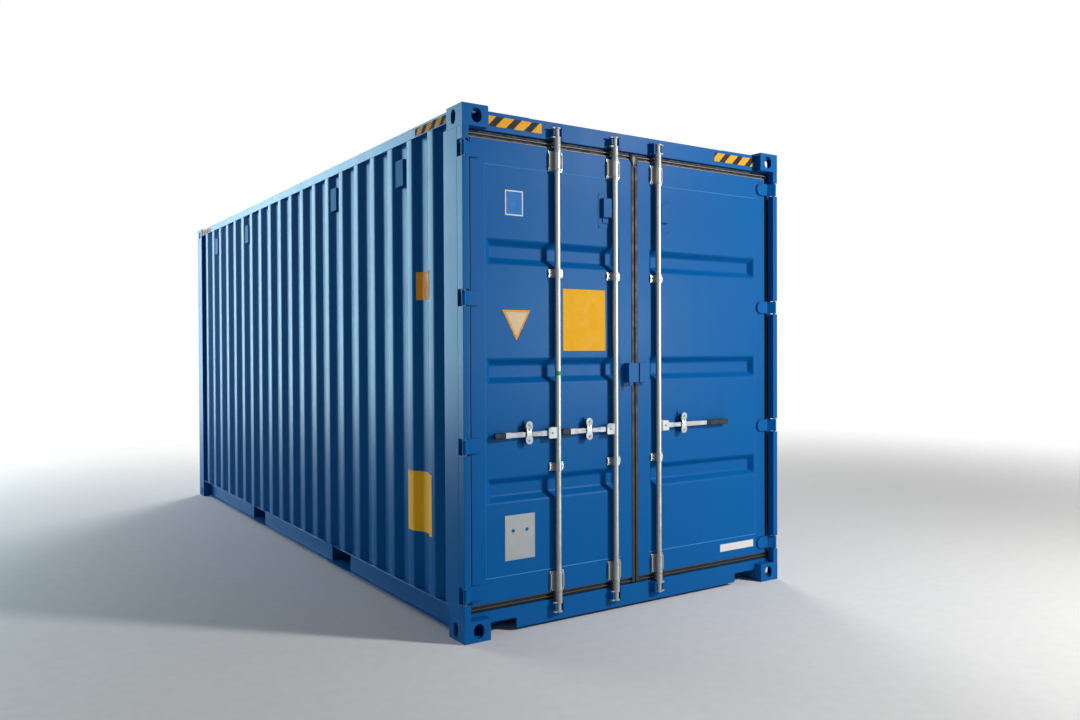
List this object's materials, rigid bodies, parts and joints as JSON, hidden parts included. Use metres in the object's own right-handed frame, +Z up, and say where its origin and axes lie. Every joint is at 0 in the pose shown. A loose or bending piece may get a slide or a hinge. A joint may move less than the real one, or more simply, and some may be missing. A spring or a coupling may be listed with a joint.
{
  "type": "freight container",
  "caption": "High-cube steel freight container with corrugated walls, fork pockets, corner castings and hinged end doors closed by lock rods with cams and lever handles",
  "frame": {"origin": "middle of the footprint, on the ground", "axes": "+X to the right when facing the doors, +Y from the doors to the front wall, +Z up"},
  "size_m": [2.438, 6.058, 2.896],
  "materials": {
    "blue_paint": "semi-gloss marine paint, lightly weathered",
    "zinc_steel": "galvanised, dull",
    "seal_rubber": "matt",
    "floor_timber": "sealed plywood, worn"
  },
  "bodies": {
    "container": {"bottom_castings": "blue_paint", "top_castings": "blue_paint", "door_posts": "blue_paint", "door_post_edges": "blue_paint", "front_posts": "blue_paint", "door_header": "blue_paint", "door_sill": "blue_paint", "front_top_rail": "blue_paint", "front_bottom_rail": "blue_paint", "top_side_rails": "blue_paint", "bottom_side_rails": "blue_paint", "cross_members": "blue_paint", "fork_pocket_members": "blue_paint", "fork_pocket_plates": "blue_paint", "floor_boards": "floor_timber", "left_wall": "blue_paint", "right_wall": "blue_paint", "front_wall": "blue_paint", "roof_panel": "blue_paint", "roof_corner_plates": "blue_paint", "wall_vents": "blue_paint", "cam_keepers": "zinc_steel", "hinge_pins": "zinc_steel"},
    "left_door": {"left_door_frame": "blue_paint", "left_door_panel": "blue_paint", "left_door_seal": "seal_rubber", "left_door_hinges": "blue_paint", "left_rod_bearings": "zinc_steel", "left_handle_holders": "zinc_steel", "left_door_vent": "blue_paint", "left_lock_box": "blue_paint"},
    "right_door": {"right_door_frame": "blue_paint", "right_door_panel": "blue_paint", "right_door_seal": "seal_rubber", "right_door_hinges": "blue_paint", "right_rod_bearings": "zinc_steel", "right_handle_holder": "zinc_steel", "right_door_vent": "blue_paint", "right_lock_box": "blue_paint"},
    "left_outer_lock": {"left_outer_rod": "zinc_steel", "left_outer_cams": "zinc_steel", "left_outer_hub": "zinc_steel"},
    "left_inner_lock": {"left_inner_rod": "zinc_steel", "left_inner_cams": "zinc_steel", "left_inner_hub": "zinc_steel"},
    "right_lock": {"right_rod": "zinc_steel", "right_cams": "zinc_steel", "right_hub": "zinc_steel"},
    "left_outer_lever": {"left_outer_handle": "zinc_steel"},
    "left_inner_lever": {"left_inner_handle": "zinc_steel"},
    "right_lever": {"right_handle": "zinc_steel"}
  },
  "joints": [
    {"name": "left_door_hinge", "type": "hinge", "parent": "container", "child": "left_door", "pos_m": [-1.205, -3.015, 1.4], "axis": [0, 0, -1], "range_deg": [0, 265]},
    {"name": "right_door_hinge", "type": "hinge", "parent": "container", "child": "right_door", "pos_m": [1.205, -3.015, 1.4], "axis": [0, 0, 1], "range_deg": [0, 265]},
    {"name": "left_outer_rod_turn", "type": "hinge", "parent": "left_door", "child": "left_outer_lock", "pos_m": [-0.59, -3.005, 1.4], "axis": [0, 0, -1], "range_deg": [-100, 0]},
    {"name": "left_outer_handle_lift", "type": "hinge", "parent": "left_outer_lock", "child": "left_outer_lever", "pos_m": [-0.635, -3.005, 1.103], "axis": [0, -1, 0], "range_deg": [-15, 0]},
    {"name": "left_inner_rod_turn", "type": "hinge", "parent": "left_door", "child": "left_inner_lock", "pos_m": [-0.17, -3.005, 1.4], "axis": [0, 0, -1], "range_deg": [-100, 0]},
    {"name": "left_inner_handle_lift", "type": "hinge", "parent": "left_inner_lock", "child": "left_inner_lever", "pos_m": [-0.215, -3.005, 1.103], "axis": [0, -1, 0], "range_deg": [-15, 0]},
    {"name": "right_rod_turn", "type": "hinge", "parent": "right_door", "child": "right_lock", "pos_m": [0.17, -3.005, 1.4], "axis": [0, 0, 1], "range_deg": [-100, 0]},
    {"name": "right_handle_lift", "type": "hinge", "parent": "right_lock", "child": "right_lever", "pos_m": [0.215, -3.005, 1.103], "axis": [0, 1, 0], "range_deg": [-15, 0]}
  ]
}
